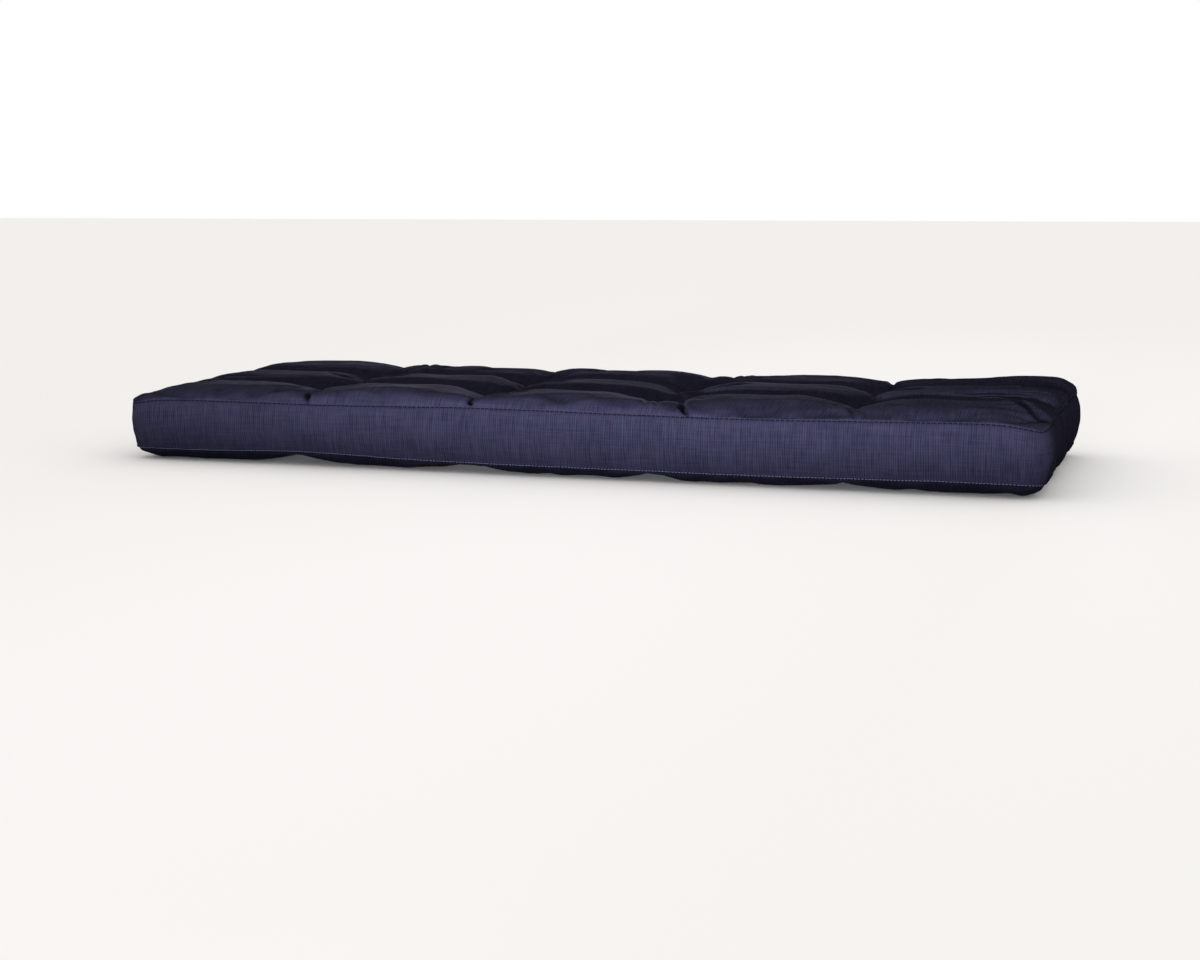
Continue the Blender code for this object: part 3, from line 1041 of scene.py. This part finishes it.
def makeCanvas():
    material, tree, shader = newMaterial("navy_rib_canvas")
    place = addNode(tree, "ShaderNodeUVMap", uv_map="cloth").outputs["UV"]
    parts = addNode(tree, "ShaderNodeSeparateXYZ")
    tree.links.new(place, parts.inputs["Vector"])
    patterns = {name: clothNoise(tree, place, **yarn) for name, yarn in yarns.items()}
    drift = calculate(tree, "MULTIPLY", patterns["drift"], canvas["ribDrift"])
    patterns["rib"] = threadWave(tree, calculate(tree, "ADD", parts.outputs["X"], drift), canvas["ribPitch"])
    patterns["weft"] = threadWave(tree, parts.outputs["Y"], canvas["weftPitch"])
    # colour: yarns differ a little, the cloth is mottled, and a few yarns lean to red
    tone = mapRange(tree, addUp(tree, patterns, toneShares), canvas["toneRange"], (0.0, 1.0))
    colour = blendColours(tree, tone, canvas["dark"], canvas["light"])
    warmth = mapRange(tree, patterns["redYarn"], canvas["warmRange"], (0.0, canvas["warmMost"]))
    colour = blendColours(tree, warmth, colour, canvas["warm"])
    # the painted light and shade of each point scales that colour
    paintedLightColour = addNode(tree, "ShaderNodeVectorMath", operation="SCALE")
    tree.links.new(colour, paintedLightColour.inputs[0])
    paintedLightShare = addNode(tree, "ShaderNodeAttribute", attribute_name="paintedLight").outputs["Fac"]
    tree.links.new(paintedLightShare, paintedLightColour.inputs["Scale"])
    tree.links.new(paintedLightColour.outputs["Vector"], shader.inputs["Base Color"])
    # height: ribs, the threads across them, and thick and thin yarns
    addBump(tree, shader, addUp(tree, patterns, heightShares), canvas["ribHeight"])
    rough = mapRange(tree, patterns["rib"], (0.0, 1.0), (canvas["roughLow"], canvas["roughHigh"]))
    tree.links.new(rough, shader.inputs["Roughness"])
    shader.inputs["Specular IOR Level"].default_value = canvas["specular"]
    shader.inputs["Sheen Weight"].default_value = canvas["sheen"]
    shader.inputs["Sheen Roughness"].default_value = canvas["sheenRoughness"]
    shader.inputs["Sheen Tint"].default_value = canvas["sheenTint"]
    return material


def makeThread(name, tones):
    # a twisted thread, its strands a little uneven in colour
    material, tree, shader = newMaterial(name)
    twist = addNode(tree, "ShaderNodeTexWave", bands_direction="DIAGONAL")
    twist.inputs["Scale"].default_value = threads["twistScale"]
    twist.inputs["Distortion"].default_value = threads["unevenness"]
    tree.links.new(addNode(tree, "ShaderNodeTexCoord").outputs["Object"], twist.inputs["Vector"])
    colour = blendColours(tree, twist.outputs["Fac"], tones["low"], tones["high"])
    tree.links.new(colour, shader.inputs["Base Color"])
    addBump(tree, shader, twist.outputs["Fac"], threads["twistHeight"])
    shader.inputs["Roughness"].default_value = threads["roughness"]
    shader.inputs["Specular IOR Level"].default_value = threads["specular"]
    return material


addPaintedLight(cushion.data)
addClothMap(cushion.data)
cushion.data.materials.append(makeCanvas())
cushion.data.shade_smooth()
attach(cushion, "root")
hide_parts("cushion")
print("canvas on")

for stitches, heightShare, thread in (
    (upperStitches, 1.0 - upperStitches["below"] / bandHeight, makeThread("dark_thread", threads["dark"])),
    (lowerStitches, lowerStitches["above"] / bandHeight, makeThread("pale_thread", threads["pale"])),
):
    piece = makeStitches(stitches, heightShare, thread)
    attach(piece, "root")
    print(piece.name, len(piece.data.polygons), "faces")


# floor, light and camera
studio = {
    "floorSize": 160.0,
    "floorCells": 8,
    "floorColour": (0.90, 0.90, 0.905, 1.0),
    "floorGlow": 0.03,
    "floorDrop": 0.0003,
    "lightSpread": 60.0,
    "skyLow": (1.0, 1.0, 1.0, 1.0),
    "skyHigh": (0.95, 0.925, 0.885, 1.0),
    "skyLowEnds": 0.10,
    "skyHighStarts": 0.42,
    "cameraPlace": (0.7080, -2.2243, 0.2953),
    "cameraTurn": (82.0706, -0.1325, 17.9863),
    "cameraLens": 57.45,
    "cameraSensor": 36.0,
}

softboxes = [
    # low, from the front, turned up so that it only grazes the floor
    {"name": "key_light", "size": (1.00, 0.08), "power": 1830.0, "colour": (0.96, 0.97, 1.08),
     "place": (0.14, -5.00, 0.110), "turn": (117.5, 0.0, 0.0)},
    # the same box again behind, for the back of the band
    {"name": "back_light", "size": (1.00, 0.08), "power": 1300.0, "colour": (0.96, 0.97, 1.08),
     "place": (0.14, 5.00, 0.110), "turn": (-117.5, 0.0, 0.0)},
    # a strip just above the cushion's height, so that it only catches the crests
    {"name": "rim_light", "size": (1.05, 0.02), "power": 320.0, "colour": (1.0, 0.97, 0.96),
     "place": (-0.20, 0.75, 0.140), "turn": (-114.0, 0.0, 0.0)},
]


def inRadians(turn):
    return [math.radians(angle) for angle in turn]


def addFloor():
    cells = studio["floorCells"]
    bpy.ops.mesh.primitive_grid_add(x_subdivisions=cells, y_subdivisions=cells, size=studio["floorSize"])
    floor = bpy.context.object
    floor.name = "floor"
    floor.location.z = -studio["floorDrop"]
    paint, tree, shader = newMaterial("pale_floor")
    shader.inputs["Base Color"].default_value = studio["floorColour"]
    shader.inputs["Emission Color"].default_value = studio["floorColour"]
    shader.inputs["Emission Strength"].default_value = studio["floorGlow"]
    shader.inputs["Roughness"].default_value = 1.0
    shader.inputs["Specular IOR Level"].default_value = 0.0
    floor.data.materials.append(paint)


def addSoftbox(name, size, power, colour, place, turn):
    data = bpy.data.lights.new(name, "AREA")
    data.shape = "RECTANGLE"
    data.size, data.size_y = size
    data.energy = power
    data.color = colour
    data.spread = math.radians(studio["lightSpread"])
    light = bpy.data.objects.new(name, data)
    light.location = place
    light.rotation_euler = inRadians(turn)
    light.visible_camera = False
    bpy.context.scene.collection.objects.link(light)


def addSky():
    world = bpy.data.worlds.new("studio_sky")
    bpy.context.scene.world = world
    world.use_nodes = True
    tree = world.node_tree
    direction = addNode(tree, "ShaderNodeTexCoord").outputs["Generated"]
    parts = addNode(tree, "ShaderNodeSeparateXYZ")
    tree.links.new(direction, parts.inputs["Vector"])
    ramp = addNode(tree, "ShaderNodeValToRGB")
    low, high = ramp.color_ramp.elements
    low.position = studio["skyLowEnds"]
    low.color = studio["skyLow"]
    high.position = studio["skyHighStarts"]
    high.color = studio["skyHigh"]
    tree.links.new(parts.outputs["Z"], ramp.inputs["Fac"])
    tree.links.new(ramp.outputs["Color"], tree.nodes["Background"].inputs["Color"])


def addCamera():
    data = bpy.data.cameras.new("camera")
    data.lens = studio["cameraLens"]
    data.sensor_width = studio["cameraSensor"]
    data.clip_end = studio["floorSize"]
    camera = bpy.data.objects.new("camera", data)
    camera.location = studio["cameraPlace"]
    camera.rotation_euler = inRadians(studio["cameraTurn"])
    bpy.context.scene.collection.objects.link(camera)
    bpy.context.scene.camera = camera


addFloor()
for softbox in softboxes:
    addSoftbox(**softbox)
addSky()
addCamera()
bpy.context.scene.view_settings.view_transform = "Standard"
print("studio ready")
